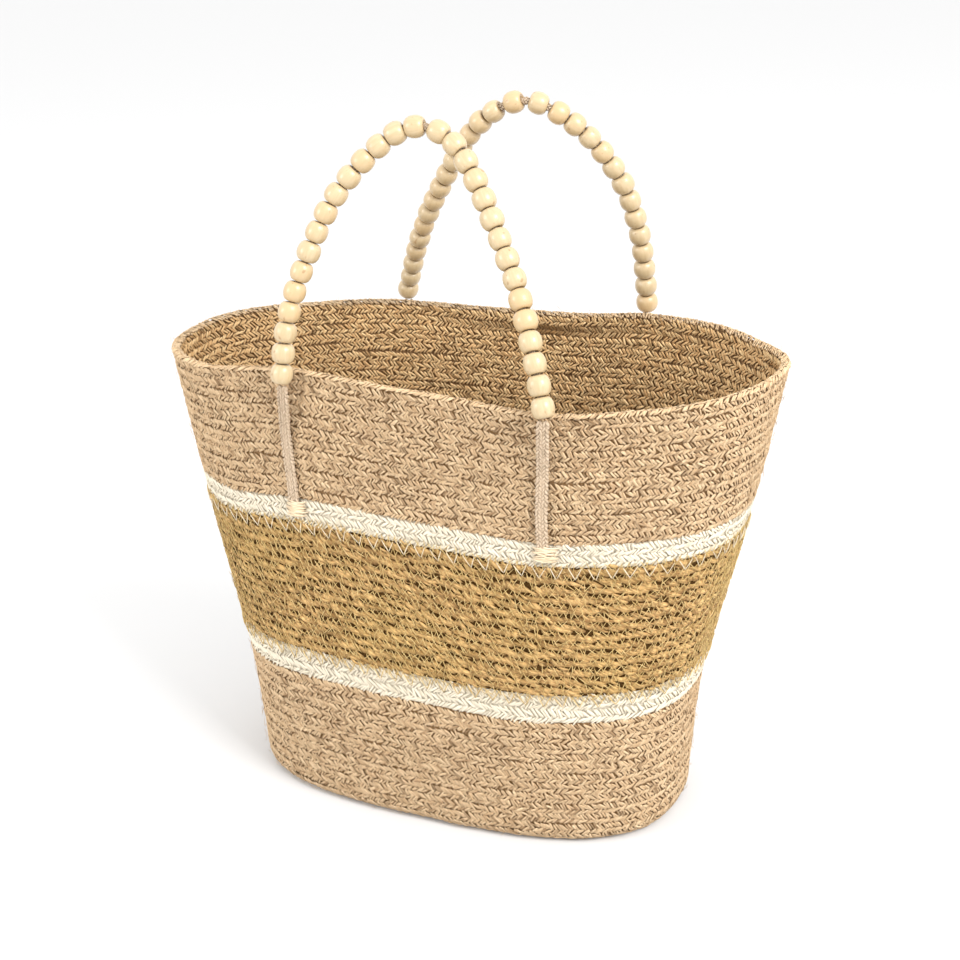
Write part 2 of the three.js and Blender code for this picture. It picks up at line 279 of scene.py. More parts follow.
class Finish:
    def __init__(self, name, constants):
        self.material = bpy.data.materials.new(name)
        self.material.use_nodes = True
        self.tree = self.material.node_tree
        self.shader = next(n for n in self.tree.nodes if n.type == "BSDF_PRINCIPLED")
        for socket, value in constants.items():
            self.shader.inputs[socket].default_value = value

    def feed(self, socket, value):
        if isinstance(value, Signal):
            self.tree.links.new(value.socket, socket)
        else:
            socket.default_value = value

    def add(self, kind, settings=None, inputs=None):
        node = self.tree.nodes.new(kind)
        for key, value in (settings or {}).items():
            setattr(node, key, value)
        for key, value in (inputs or {}).items():
            self.feed(node.inputs[key], value)
        return node

    def attribute(self, name):
        return Signal(self, self.add("ShaderNodeAttribute", {"attribute_name": name}).outputs["Vector"])

    def position(self):
        return Signal(self, self.add("ShaderNodeTexCoord").outputs["Object"])

    def part(self, vector, axis):
        return Signal(self, self.add("ShaderNodeSeparateXYZ", {}, {0: vector}).outputs[axis])

    def scaled(self, vector, by):
        node = self.add("ShaderNodeVectorMath", {"operation": "MULTIPLY"}, {0: vector, 1: by})
        return Signal(self, node.outputs[0])

    def noise(self, vector, scale, detail):
        node = self.add("ShaderNodeTexNoise", {}, {"Vector": vector, "Scale": scale, "Detail": detail})
        return Signal(self, node.outputs[0])

    def mixed(self, factor, first, second):
        node = self.add("ShaderNodeMix", {"data_type": "RGBA"}, {0: factor, 6: first, 7: second})
        return Signal(self, node.outputs[2])

    def raised(self, height, distance):
        node = self.add("ShaderNodeBump", {}, {"Height": height, "Distance": distance, "Strength": 1.0})
        self.feed(self.shader.inputs["Normal"], Signal(self, node.outputs[0]))


def strandFinish(name, look):
    # Fibre on every strand: streaks along it, a tint of its own, painted shade where it dives under its
    # neighbour.
    finish = Finish(name, {"Roughness": look["roughness"], "Specular IOR Level": look["gloss"]})
    lay = finish.attribute("lay")
    mark = finish.attribute("mark")
    tint = finish.part(mark, "X")
    tip = finish.part(mark, "Y")
    streaks = finish.noise(finish.scaled(lay, look["streak"]), 1.0, 3.0).stretched(0.28, 0.72)
    hairs = finish.noise(finish.scaled(lay, look["hair"]), 1.0, 2.0)
    patches = finish.noise(finish.position(), look["patchScale"], 2.0).stretched(0.3, 0.7)
    own = tint * look["tintShare"] + streaks * (1 - look["tintShare"])
    depth = (own + (hairs - 0.5) * look["hairShare"]).clamped()
    colour = finish.mixed(depth, look["dark"], look["light"])
    colour = finish.mixed(patches * look["patchShare"], colour, look["patch"])
    # painted shade at both tips of the strand, where it dives under its neighbour
    colour = finish.mixed((tip ** 3) * look["tipShade"], colour, look["deep"])
    # painted shade from the mark: the crease under the far rim; it also darkens a few strands at random
    colour = finish.mixed(finish.part(mark, "Z"), colour, look["deep"])
    # a furrow along the middle, where two thin strands lie side by side: painted shade darkens it, and the
    # bump sinks it
    across = finish.part(lay, "Y")
    furrow = 1 - (across * across * look["furrowSharpness"]).clamped()
    colour = finish.mixed(furrow * look["furrow"], colour, look["deep"])
    finish.feed(finish.shader.inputs["Base Color"], colour)
    height = streaks * 0.7 + hairs * 0.6 - furrow * (look["furrow"] * look["furrowDepth"])
    finish.raised(height, look["relief"])
    return finish.material


juteLook = {
    "dark": (0.53, 0.325, 0.165, 1),
    "light": (0.98, 0.755, 0.485, 1),
    # deep: the colour of painted shade at strand tips, in the middle furrow and in the crease; a few strands
    # darkened at random use it too
    "deep": (0.19, 0.10, 0.038, 1),
    "patch": (0.84, 0.62, 0.39, 1),
    "patchShare": 0.2,
    "patchScale": 14.0,
    "tintShare": 0.5,
    "tipShade": 0.4,
    "hairShare": 0.35,
    "furrow": 0.34,
    "furrowSharpness": 16.0,
    "furrowDepth": 1.6,
    "streak": (0.18, 1.3, 1.3),
    "hair": (0.7, 4.5, 4.5),
    "relief": 0.0004,
    "roughness": 0.85,
    "gloss": 0.25,
}
threadLook = {**juteLook, "furrow": 0.0, "tipShade": 0.3}
finishes = {
    "jute": strandFinish("juteBraid", juteLook),
    # a warmer, lighter copy of the jute for the inside of the bag: painted light standing in for the warm
    # light inside it; the inside is the same jute
    "juteInsideLit": strandFinish("juteBraidInsideLit", {
        **juteLook,
        "dark": (0.65, 0.35, 0.135, 1),
        "light": (1.0, 0.75, 0.41, 1),
        "deep": (0.19, 0.09, 0.024, 1),
        "patch": (0.86, 0.62, 0.34, 1),
        "furrow": 0.25,
    }),
    "cream": strandFinish("creamBraid", {
        **juteLook,
        "dark": (0.81, 0.715, 0.55, 1),
        "light": (0.96, 0.875, 0.72, 1),
        "deep": (0.66, 0.57, 0.41, 1),
        "patch": (0.92, 0.83, 0.66, 1),
        "tipShade": 0.2,
        "furrow": 0.22,
    }),
    "seagrass": strandFinish("seagrassBlade", {
        **juteLook,
        "dark": (0.22, 0.105, 0.025, 1),
        "light": (0.81, 0.515, 0.215, 1),
        "deep": (0.07, 0.03, 0.006, 1),
        "patch": (0.52, 0.345, 0.09, 1),
        "patchShare": 0.3,
        "tintShare": 0.7,
        "tipShade": 0.75,
        "streak": (0.10, 0.9, 0.9),
        "roughness": 0.62,
        "gloss": 0.4,
    }),
    "netting": strandFinish("oliveThread", {
        **threadLook,
        "dark": (0.44, 0.27, 0.08, 1),
        "light": (0.82, 0.62, 0.30, 1),
        "deep": (0.25, 0.15, 0.04, 1),
        "patch": (0.60, 0.47, 0.17, 1),
    }),
    "creamThread": strandFinish("creamThread", {
        **threadLook,
        "dark": (0.62, 0.51, 0.35, 1),
        "light": (0.84, 0.74, 0.56, 1),
        "deep": (0.42, 0.34, 0.22, 1),
        "patch": (0.76, 0.66, 0.48, 1),
        "tipShade": 0.2,
    }),
    "handleCord": strandFinish("handleCord", {
        **threadLook,
        "dark": (0.42, 0.31, 0.205, 1),
        "light": (0.72, 0.57, 0.42, 1),
        "deep": (0.22, 0.155, 0.095, 1),
        "patch": (0.56, 0.46, 0.35, 1),
        "tipShade": 0.35,
    }),
    "tack": strandFinish("tackThread", {
        **threadLook,
        "dark": (0.66, 0.50, 0.32, 1),
        "light": (0.90, 0.76, 0.56, 1),
        "deep": (0.48, 0.33, 0.18, 1),
        "patch": (0.84, 0.70, 0.50, 1),
    }),
}


def coreFinish(name, dark, light):
    finish = Finish(name, {"Roughness": 0.95, "Specular IOR Level": 0.1})
    grain = finish.noise(finish.position(), 900.0, 3.0).stretched(0.3, 0.7)
    finish.feed(finish.shader.inputs["Base Color"], finish.mixed(grain, dark, light))
    finish.raised(grain, 0.0005)
    return finish.material


# the cores' colours are painted shade, for the gaps between the strands
finishes["juteCore"] = coreFinish("juteShade", (0.16, 0.09, 0.04, 1), (0.36, 0.22, 0.11, 1))
finishes["creamCore"] = coreFinish("creamShade", (0.62, 0.55, 0.43, 1), (0.84, 0.77, 0.63, 1))
finishes["seagrassCore"] = coreFinish("seagrassShade", (0.035, 0.018, 0.005, 1), (0.12, 0.06, 0.016, 1))


beadLook = {
    "surface": {"Roughness": 0.36, "Specular IOR Level": 0.5, "Coat Roughness": 0.18, "Coat Weight": 0.35},
    "roughness": 0.30,
    "poreRoughness": 0.18,
    "pale": (0.545, 0.425, 0.255, 1),
    "grain": (0.475, 0.355, 0.20, 1),
    "tan": (0.54, 0.37, 0.185, 1),
    "pores": (0.44, 0.31, 0.15, 1),
    "knots": (0.30, 0.16, 0.06, 1),
    # ends: painted shade for the dark line at each joint between beads
    "ends": (0.20, 0.11, 0.04, 1),
}


def beadFinish():
    finish = Finish("beadWood", beadLook["surface"])
    lay = finish.attribute("lay")
    mark = finish.attribute("mark")
    tint = finish.part(mark, "X")
    grain = finish.noise(finish.scaled(lay, (0.05, 0.55, 0.55)), 1.0, 4.0).stretched(0.3, 0.7)
    pores = finish.noise(finish.scaled(lay, (0.35, 3.2, 3.2)), 1.0, 2.0)
    knots = finish.noise(finish.scaled(lay, (0.30, 0.34, 0.34)), 1.0, 0.0).stretched(0.76, 0.84)
    # painted shade on the end faces, for the dark line at each joint between beads
    ends = finish.part(mark, "Y").stretched(0.93, 0.97)
    colour = finish.mixed(grain, beadLook["pale"], beadLook["grain"])
    colour = finish.mixed((tint ** 3) * 0.7, colour, beadLook["tan"])
    colour = finish.mixed(pores.stretched(0.55, 0.8) * 0.25, colour, beadLook["pores"])
    colour = finish.mixed(knots * 0.6, colour, beadLook["knots"])
    colour = finish.mixed(ends * 0.75, colour, beadLook["ends"])
    finish.feed(finish.shader.inputs["Base Color"], colour)
    finish.feed(finish.shader.inputs["Roughness"], beadLook["roughness"] + pores * beadLook["poreRoughness"])
    finish.raised(grain * 0.4 + pores * 0.3, 0.00012)
    return finish.material


finishes["bead"] = beadFinish()
print("materials made")


# The small shapes that are repeated
def takeShape(bm):
    bmesh.ops.triangulate(bm, faces=bm.faces)
    bmesh.ops.recalc_face_normals(bm, faces=bm.faces)
    points = np.array([v.co for v in bm.verts])
    faces = np.array([[v.index for v in f.verts] for f in bm.faces])
    bm.free()
    return {"points": points, "faces": faces}


def strandShape(sides, rings, blunt):
    # a closed strand from x -1 to x 1, with a pole at each tip
    bm = bmesh.new()
    bmesh.ops.create_uvsphere(bm, u_segments=sides, v_segments=rings, radius=1)
    bmesh.ops.rotate(bm, verts=bm.verts, cent=(0, 0, 0), matrix=Matrix.Rotation(math.pi / 2, 3, "Y"))
    for v in bm.verts:
        girth = math.hypot(v.co.y, v.co.z)
        if girth > 0.01:
            v.co.y *= girth ** (blunt - 1)
            v.co.z *= girth ** (blunt - 1)
    bm.verts.index_update()
    return takeShape(bm)


plump = strandShape(4, 4, 0.5)
blade = strandShape(4, 4, 0.8)
short = strandShape(4, 3, 0.7)
stroke = strandShape(3, 3, 0.5)
thin = strandShape(3, 3, 1.0)
floorEase = 0.0004  # height above the floor where strands begin to be pressed flat


def joinedPiece(name, parts, finish, nodes):
    # one mesh of many closed shapes, each part being points, faces and the two attributes
    offset = 0
    faces = []
    for part in parts:
        faces.append(part["faces"] + offset)
        offset += len(part["points"])
    points = np.concatenate([part["points"] for part in parts])
    faces = np.concatenate(faces)
    mesh = bpy.data.meshes.new(name)
    mesh.vertices.add(len(points))
    mesh.vertices.foreach_set("co", points.astype(np.float32).ravel())
    mesh.loops.add(faces.size)
    mesh.loops.foreach_set("vertex_index", faces.astype(np.int32).ravel())
    mesh.polygons.add(len(faces))
    mesh.polygons.foreach_set("loop_start", np.arange(0, faces.size, 3, dtype=np.int32))
    mesh.polygons.foreach_set("use_smooth", np.ones(len(faces), bool))
    mesh.update(calc_edges=True)
    for key in ("lay", "mark"):
        values = np.concatenate([part[key] for part in parts]).astype(np.float32)
        mesh.attributes.new(key, "FLOAT_VECTOR", "POINT").data.foreach_set("vector", values.ravel())
    placedPiece(name, mesh, finish, nodes)


triangleCount = {}


def placedPiece(name, mesh, finish, nodes):
    mesh.materials.append(finishes[finish])
    piece = bpy.data.objects.new(name, mesh)
    bpy.context.scene.collection.objects.link(piece)
    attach(piece, "root")
    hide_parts(*nodes)
    triangleCount[name] = len(mesh.polygons)


def layStrands(shape, strands, settle):
    # strands holds a number or an array for each fact; tilt, out, tuck, pitch and shade may be left out,
    # and keys that aren't read here do no harm
    count = len(strands["place"])
    full = {key: np.broadcast_to(value, count)[:, None] for key, value in strands.items()}
    x, y, z = (shape["points"][:, k][None, :] for k in range(3))
    along = x * full["long"] / 2
    across = y * full["wide"] / 2
    over = z * full["thick"] / 2
    cos = np.cos(full.get("tilt", 0.0))
    sin = np.sin(full.get("tilt", 0.0))
    place = full["place"] + along * cos - across * sin
    level = full["level"] + along * sin + across * cos
    proud = full.get("out", 0) + over - full.get("tuck", 0) * x * x + full.get("pitch", 0) * x
    onRow = [full["rowLength"]] if "rowLength" in full else []
    points = settle(place, level, proud, *onRow)
    # strands that would reach below the floor are pressed flat on it
    low = np.minimum(points[..., 2] - floorEase, 0)
    points[..., 2] += floorEase * (np.exp(low / floorEase) - 1) - low
    # the faces look out, whichever way round the surface turns the strand
    first, second, third = (points[:, shape["faces"][:, k]] - points.mean(axis=1)[:, None] for k in range(3))
    bulk = np.sum(first * np.cross(second, third), axis=(1, 2))
    size = len(shape["points"])
    faces = np.where(bulk[:, None, None] < 0, shape["faces"][:, ::-1], shape["faces"])
    faces = (faces + (np.arange(count) * size)[:, None, None]).reshape(-1, 3)
    lay = np.stack([along, across, over + full["tint"] * 0.097], axis=-1) * 1000
    nothing = 0 * x + 0 * full["tint"]
    mark = np.stack([full["tint"] + nothing, np.abs(x) + nothing, full.get("shade", 0) + nothing], axis=-1)
    return {
        "points": points.reshape(-1, 3),
        "faces": faces,
        "lay": lay.reshape(-1, 3),
        "mark": mark.reshape(-1, 3),
    }


def jitter(count, amount):
    return dice.normal(0, amount, count)


def makeRipple(rowLength, amount, waves):
    # a slow wander along a row that closes on itself
    starts = dice.random(waves)
    sizes = dice.normal(0, 1, waves)

    def ripple(place):
        total = sum(
            size * np.sin(2 * math.pi * ((k + 1) * place / rowLength + start))
            for k, (start, size) in enumerate(zip(starts, sizes)))
        return total * amount / waves ** 0.5

    return ripple


# how far one stroke strays from the next; long, wide and thick as shares of the size
strokeScatter = {
    "place": 0.00022,
    "level": 0.00032,
    "long": 0.14,
    "wide": 0.20,
    "thick": 0.14,
    "tilt": 0.18,
    "out": 0.00014,
    "slowOut": 0.00012,
    "slowTilt": 0.07,
}


def braidRow(shape, surface, level, rowHeight, braid, shadeAt=None):
    # one row of flat braid: two files of slanting strokes, in pairs, that dive under each other in the middle
    rowLength = surface.lengthAt(level)
    count = 2 * int(round(rowLength / braid["pitch"] / 2))
    step = rowLength / count
    start = dice.random() * step
    sway = makeRipple(rowLength, braid["wander"], 16)
    swellOut = makeRipple(rowLength, strokeScatter["slowOut"], 24)
    lean = makeRipple(rowLength, strokeScatter["slowTilt"], 20)
    paired = np.where(np.arange(count) % 2, -1, 1) * braid["pairing"]
    parts = []
    for side, file in ((1, braid["upper"]), (-1, braid["lower"])):
        evenly = start + (np.arange(count) + (0.5 if side > 0 else 0)) * step
        place = evenly + paired + jitter(count, strokeScatter["place"])
        shade = np.where(dice.random(count) < braid["dullShare"], braid["dullShade"], 0)
        if shadeAt is not None:
            shade = np.maximum(shade, shadeAt(place / rowLength, level))
        parts.append(layStrands(shape, {
            "place": place,
            "level": level + file["at"] * rowHeight + jitter(count, strokeScatter["level"]) + sway(place),
            "long": file["long"] * rowHeight * (1 + jitter(count, strokeScatter["long"])),
            "wide": braid["wide"] * (1 + jitter(count, strokeScatter["wide"])),
            "thick": braid["thick"] * (1 + jitter(count, strokeScatter["thick"])),
            "tilt": -side * braid["hand"] * file["tilt"] + jitter(count, strokeScatter["tilt"]) + lean(place),
            "out": braid["out"] + jitter(count, strokeScatter["out"]) + swellOut(place),
            "tuck": braid["tuck"],
            "tint": np.clip(braid["tint"] + jitter(count, braid["mottle"]), 0, 1),
            "shade": shade,
            "rowLength": rowLength,
        }, surface.settle))
    return parts


def bandStrands(shape, surface, band, braid, skip=0, shadeAt=None):
    low, high, rows = bandLevels(band)
    rowHeight = (min(high, bagShape["height"] - rimRadius) - low) / rows
    parts = []
    for row in range(skip, rows):
        parts += braidRow(shape, surface, low + (row + 0.5) * rowHeight, rowHeight, braid, shadeAt)
    return parts


def creaseShade(share, level):
    # the crease under the far rim lies in its own shade
    line = innerWall.grid[np.searchsorted(wallLevels, level)] - frameShift
    columns = (share % 1 * innerWall.grid.shape[1]).astype(int)
    turn = np.arctan2(line[columns, 1], line[columns, 0])
    return 0.9 * creaseAt(turn, level)


outerBraid = {
    "pitch": 0.0021,
    "wide": 0.0018,
    "thick": 0.0013,
    "out": -0.0005,
    "tuck": 0.0004,
    "wander": 0.0006,
    "pairing": 0.00018,
    "mottle": 0.28,
    "tint": 0.5,
    "dullShare": 0.09,
    "dullShade": 0.55,
    "hand": 1,
    # both files as shares of the row's height, with the slant of their strokes
    "upper": {"at": 0.20, "long": 1.06, "tilt": math.radians(47)},
    "lower": {"at": -0.28, "long": 0.90, "tilt": math.radians(42)},
}
creamBraid = {**outerBraid, "thick": 0.0011, "dullShare": 0.04, "mottle": 0.2}
innerBraid = {**outerBraid, "pitch": 0.0026, "wide": 0.0019, "thick": 0.0015, "hand": -1}
coarseBraid = {**innerBraid, "pitch": 0.0048, "wide": 0.0034, "thick": 0.0020, "out": -0.0009}

for band, label, slot, finish, inside in (
    ("lower_jute_band", "lowerJute", "jute_braid", "jute", "juteInsideLit"),
    ("upper_jute_band", "upperJute", "jute_braid", "jute", "juteInsideLit"),
    ("lower_cream_band", "lowerCream", "cream_braid", "cream", "cream"),
    ("upper_cream_band", "upperCream", "cream_braid", "cream", "cream"),
):
    outside = bandStrands(stroke, outerWall, band, creamBraid if finish == "cream" else outerBraid)
    joinedPiece(label + "Braid", outside, finish, [band])
    # the row hidden beside the base inside is left out
    hidden = 1 if band == "lower_jute_band" else 0
    lining = bandStrands(stroke, innerWall, band, coarseBraid if hidden else innerBraid, hidden, creaseShade)
    joinedPiece(label + "Inside", lining, inside, [band])
print("braided rows laid")


# Seagrass: slender blades twisted along each row, netted over with thread
seagrass = {
    "pitch": 0.0044,
    "long": 0.0120,
    "wide": 0.0036,
    "thick": 0.0024,
    "tilt": math.radians(-22),
    "out": -0.0008,
    "tuck": 0.0016,
    "scatter": 0.09,
}
looseBlades = {
    **seagrass,
    "pitch": 0.0052,
    "long": 0.0085,
    "wide": 0.0019,
    "thick": 0.0017,
    "out": -0.0002,
    "scatter": 0.30,
}
insideBlades = {**seagrass, "pitch": 0.0050, "scatter": 0.12}


def seagrassRow(shape, surface, level, rowHeight, grass):
    rowLength = surface.lengthAt(level)
    count = int(round(rowLength / grass["pitch"]))
    place = np.arange(count) * rowLength / count + jitter(count, grass["pitch"] * 0.16)
    scatter = jitter(count, rowHeight * grass["scatter"])
    return layStrands(shape, {
        "place": place,
        "level": level + scatter + makeRipple(rowLength, 0.0005, 14)(place),
        "long": grass["long"] * (1 + jitter(count, 0.20)),
        "wide": grass["wide"] * (1 + jitter(count, 0.24)),
        "thick": grass["thick"] * (1 + jitter(count, 0.12)),
        "tilt": grass["tilt"] + jitter(count, 0.16),
        "out": grass["out"] + jitter(count, 0.0003),
        "tuck": grass["tuck"],
        "tint": dice.beta(1.1, 0.9, count),
        "rowLength": rowLength,
    }, surface.settle)


net = {
    "step": 0.0042,
    "long": 1.35,  # as a share of the row's height
    "wide": 0.0006,
    "thick": 0.0007,
    "tilt": math.radians(60),
    "out": 0.0006,
    "tuck": 0.0007,
}


def netting(level, rowHeight):
    # thread that crosses from row to row and back
    rowLength = outerWall.lengthAt(level)
    count = int(round(rowLength / net["step"]))
    parts = []
    for way in (1, -1):
        place = (np.arange(count) + (0.5 if way > 0 else 0)) * rowLength / count + jitter(count, 0.0009)
        parts.append(layStrands(thin, {
            **net,
            "place": place,
            "level": level + jitter(count, 0.0007),
            "long": rowHeight * net["long"] * (1 + jitter(count, 0.15)),
            "tilt": way * net["tilt"] + jitter(count, 0.22),
            "out": net["out"] + jitter(count, 0.0002),
            "tint": dice.random(count),
            "rowLength": rowLength,
        }, outerWall.settle))
    return parts


low, high, rows = bandLevels("seagrass_band")
grassRow = (high - low) / rows
grassLevels = low + (np.arange(rows) + 0.5) * grassRow
bladeParts = []
for level in grassLevels:
    bladeParts.append(seagrassRow(blade, outerWall, level, grassRow, seagrass))
    bladeParts.append(seagrassRow(blade, outerWall, level, grassRow, looseBlades))
joinedPiece("seagrassBlades", bladeParts, "seagrass", ["seagrass_band"])
insideParts = [seagrassRow(short, innerWall, level, grassRow, insideBlades) for level in grassLevels]
joinedPiece("seagrassInside", insideParts, "seagrass", ["seagrass_band"])
netParts = []
for level in low + np.arange(rows + 1) * grassRow:
    netParts += netting(level, grassRow)
joinedPiece("seagrassNetting", netParts, "netting", ["seagrass_band"])
print("seagrass laid")


# Zigzag stitches along the edges of the cream stripes
edgeStitch = {
    "step": 0.0116,
    "across": 0.0086,
    "high": 0.0082,
    "wide": 0.00062,
    "thick": 0.0008,
    "out": 0.0011,
    "tuck": 0.0004,
    "apex": 0.3,  # how far the point of a V stands to the right, as a share of its half width
}


def edgeStitches(level):
    rowLength = outerWall.lengthAt(level)
    count = int(round(rowLength / edgeStitch["step"]))
    wander = jitter(count, 0.0006)
    point = edgeStitch["apex"] * edgeStitch["across"] / 2
    parts = []
    for way in (1, -1):
        # way 1 is the right arm of a V
        run = edgeStitch["across"] / 2 - way * point
        parts.append(layStrands(plump, {
            **edgeStitch,
            "place": np.arange(count) * rowLength / count + point + way * run / 2 + wander,
            "level": level - edgeStitch["high"] * 0.40 + jitter(count, 0.0002),
            "long": math.hypot(run, edgeStitch["high"]) * (1.06 + jitter(count, 0.05)),
            "tilt": way * math.atan2(edgeStitch["high"], run) + jitter(count, 0.09),
            "tint": dice.random(count),
            "rowLength": rowLength,
        }, outerWall.settle))
    return parts


upperEdge, creamTop = bandLevels("upper_cream_band")[:2]
lowerEdge = bandLevels("lower_cream_band")[1]
joinedPiece("creamZigzag", edgeStitches(upperEdge), "creamThread", ["upper_cream_band"])
joinedPiece("oliveZigzag", edgeStitches(lowerEdge), "netting", ["seagrass_band"])


# The rim's top and the base
rimBraid = {**outerBraid, "wander": 0.0001, "out": 0.0001, "tint": 0.75, "dullShare": 0.03}
rimStrokes = braidRow(stroke, rimTop, rimArc / 2, rimArc, rimBraid)
joinedPiece("rimBraid", rimStrokes, "jute", ["upper_jute_band"])

floorRow = 0.0075
bottomBraid = {**coarseBraid, "out": -0.0012}
bottomParts = []
insideParts = []
for low in np.arange(floorLevels[0], floorLevels[-1] - floorRow, floorRow):
    level = low + floorRow / 2
    bottomParts += braidRow(stroke, bottomFace, level, floorRow, bottomBraid)
    if low > -0.001:
        insideParts += braidRow(stroke, insideFloor, level, floorRow, coarseBraid)
joinedPiece("baseBottom", bottomParts, "jute", ["base_panel"])
joinedPiece("baseInside", insideParts, "juteInsideLit", ["base_panel"])
print("rim and base laid")


# The inside of the braid, a sheet coloured dark as painted shade, seen only in the gaps
core = {"fromFloor": 0.0015, "fromRim": 0.0020, "fromOutside": 0.0016, "fromInside": 0.0020, "columns": 168}


def wallCore(name, band, finish):
    low, high, rows = bandLevels(band)
    low = max(low, core["fromFloor"])
    high = min(high, bagShape["height"] - core["fromRim"])
    levels = np.linspace(low, high, rows // 2 + 2)
    profile = [(level, core["fromOutside"]) for level in levels]
    profile += [(level, bagShape["wall"] - core["fromInside"]) for level in levels[::-1]]
    bm = bmesh.new()
    bmesh.ops.create_grid(bm, x_segments=core["columns"], y_segments=len(profile), size=0.5)
    shares = np.array([v.co.x + 0.5 for v in bm.verts])
    steps = np.array([int(round((v.co.y + 0.5) * len(profile))) % len(profile) for v in bm.verts])
    level = np.array([profile[k][0] for k in steps])
    inset = np.array([profile[k][1] for k in steps])
    points = outerWall.settle(shares, level, -inset, 1)
    for v, point in zip(bm.verts, points):
        v.co = point
    bmesh.ops.remove_doubles(bm, verts=bm.verts, dist=0.00001)
    bmesh.ops.recalc_face_normals(bm, faces=bm.faces)
    mesh = bpy.data.meshes.new(name)
    bmesh.ops.triangulate(bm, faces=bm.faces)
    bm.to_mesh(mesh)
    bm.free()
    placedPiece(name, mesh, finish, [band])


for label, band, finish, slot in (
    ("lowerJute", "lower_jute_band", "juteCore", "jute_braid"),
    ("upperJute", "upper_jute_band", "juteCore", "jute_braid"),
    ("lowerCream", "lower_cream_band", "creamCore", "cream_braid"),
    ("upperCream", "upper_cream_band", "creamCore", "cream_braid"),
    ("seagrass", "seagrass_band", "seagrassCore", "seagrass_rope"),
):
    wallCore(label + "Core", band, finish)


def baseCore():
    # the plate between the two faces of the base: its outline, filled and made thick
    inward, above, below = 0.0008, 0.0018, 0.0016
    bm = bmesh.new()
    bmesh.ops.create_circle(bm, cap_ends=True, segments=120, radius=1)
    shares = np.array([math.atan2(v.co.y, v.co.x) / (2 * math.pi) for v in bm.verts])
    points = bottomFace.settle(shares, np.full(len(shares), inward), np.full(len(shares), -above), 1)
    for v, point in zip(bm.verts, points):
        v.co = point
    top = bmesh.ops.extrude_face_region(bm, geom=list(bm.faces))
    raised = [g for g in top["geom"] if isinstance(g, bmesh.types.BMVert)]
    bmesh.ops.translate(bm, verts=raised, vec=(0, 0, bagShape["baseThickness"] - above - below))
    bmesh.ops.triangulate(bm, faces=bm.faces)
    bmesh.ops.recalc_face_normals(bm, faces=bm.faces)
    mesh = bpy.data.meshes.new("baseCore")
    bm.to_mesh(mesh)
    bm.free()
    placedPiece("baseCore", mesh, "juteCore", ["base_panel"])


baseCore()
print("cores made")

# Handles
handle = {
    "span": 0.180,
    "rise": 0.160,
    "leanEase": 0.020,
    "beadCount": 30,
    "beadDiameter": 0.0148,
    "seatClearance": 0.0006,
    "cordRadius": 0.0021,
    "gapRadius": 0.0029,
}
# across as a share of half the span, up as a share of the rise
handleRoutes = {
    "front": [
        (-0.974, 0.004), (-0.951, 0.192), (-0.877, 0.399), (-0.623, 0.766), (-0.184, 1.016),
        (0.114, 0.989), (0.656, 0.544), (0.802, 0.377), (0.954, 0.155), (1.031, -0.002),
    ],
    "back": [
        (-1.022, 0.057), (-0.825, 0.332), (-0.547, 0.613), (-0.048, 0.979), (0.295, 1.053),
        (0.644, 0.926), (0.92, 0.683), (1.024, 0.433), (1.041, 0.253), (1.042, 0.099),
    ],
}
handleLeans = {"front": (0.301, 0.453), "back": (0.485, 0.294)}  # at the left foot and at the right
# after which bead, how much wider than the others
wideGaps = {"front": {14: 0.0026}, "back": {14: 0.0032, 15: 0.0038, 16: 0.0017}}


def wallAt(across, level, side):
    # the outside of the wall at a place along X: its point and its slope seen from above
    share = level / bagShape["height"]

    def turnAt(x):
        shift = readTable(wallSections, 5, share) * bagShape["length"] / 2
        half = readTable(wallSections, 1, share) * bagShape["length"] / 2
        corner = readTable(wallSections, 3 if side < 0 else 4, share)
        return side * np.arccos(signedPower((x - shift) / half, corner / 2))

    here = wallPoint(turnAt(across), level) - frameShift
    beyond = wallPoint(turnAt(across + 0.001), level) - frameShift
    return here, (beyond[1] - here[1]) / (beyond[0] - here[0])


def curveThrough(points, steps=40):
    # centripetal curve through the points, as a fine line
    points = np.array(points)
    ends = np.vstack([2 * points[0] - points[1], points, 2 * points[-1] - points[-2]])
    line = []
    for k in range(len(points) - 1):
        a, b, c, d = ends[k:k + 4]
        before, span, after = (np.linalg.norm(q - p) ** 0.5 for p, q in ((a, b), (b, c), (c, d)))
        leave = ((b - a) / before - (c - a) / (before + span) + (c - b) / span) * span
        arrive = ((c - b) / span - (d - b) / (span + after) + (d - c) / after) * span
        t = np.linspace(0, 1, steps, endpoint=False)[:, None]
        line.append(b + leave * t + (3 * (c - b) - 2 * leave - arrive) * t ** 2
                    + (2 * (b - c) + leave + arrive) * t ** 3)
    return np.vstack([*line, points[-1:]])


class Route:
    # a fine line that can be read at any distance along it
    def __init__(self, line):
        self.line = line
        self.along = np.append(0, np.cumsum(np.linalg.norm(np.diff(line, axis=0), axis=1)))
        self.length = self.along[-1]
        self.heading = np.gradient(line, self.along, axis=0)

    def read(self, field, at):
        return np.stack([np.interp(at, self.along, field[:, k]) for k in range(3)], axis=-1)

    def point(self, at):
        over = at - np.clip(at, 0, self.length)
        return self.read(self.line, at) + self.tangent(at) * over[..., None]

    def tangent(self, at):
        heading = self.read(self.heading, at)
        return heading / np.linalg.norm(heading, axis=-1, keepdims=True)


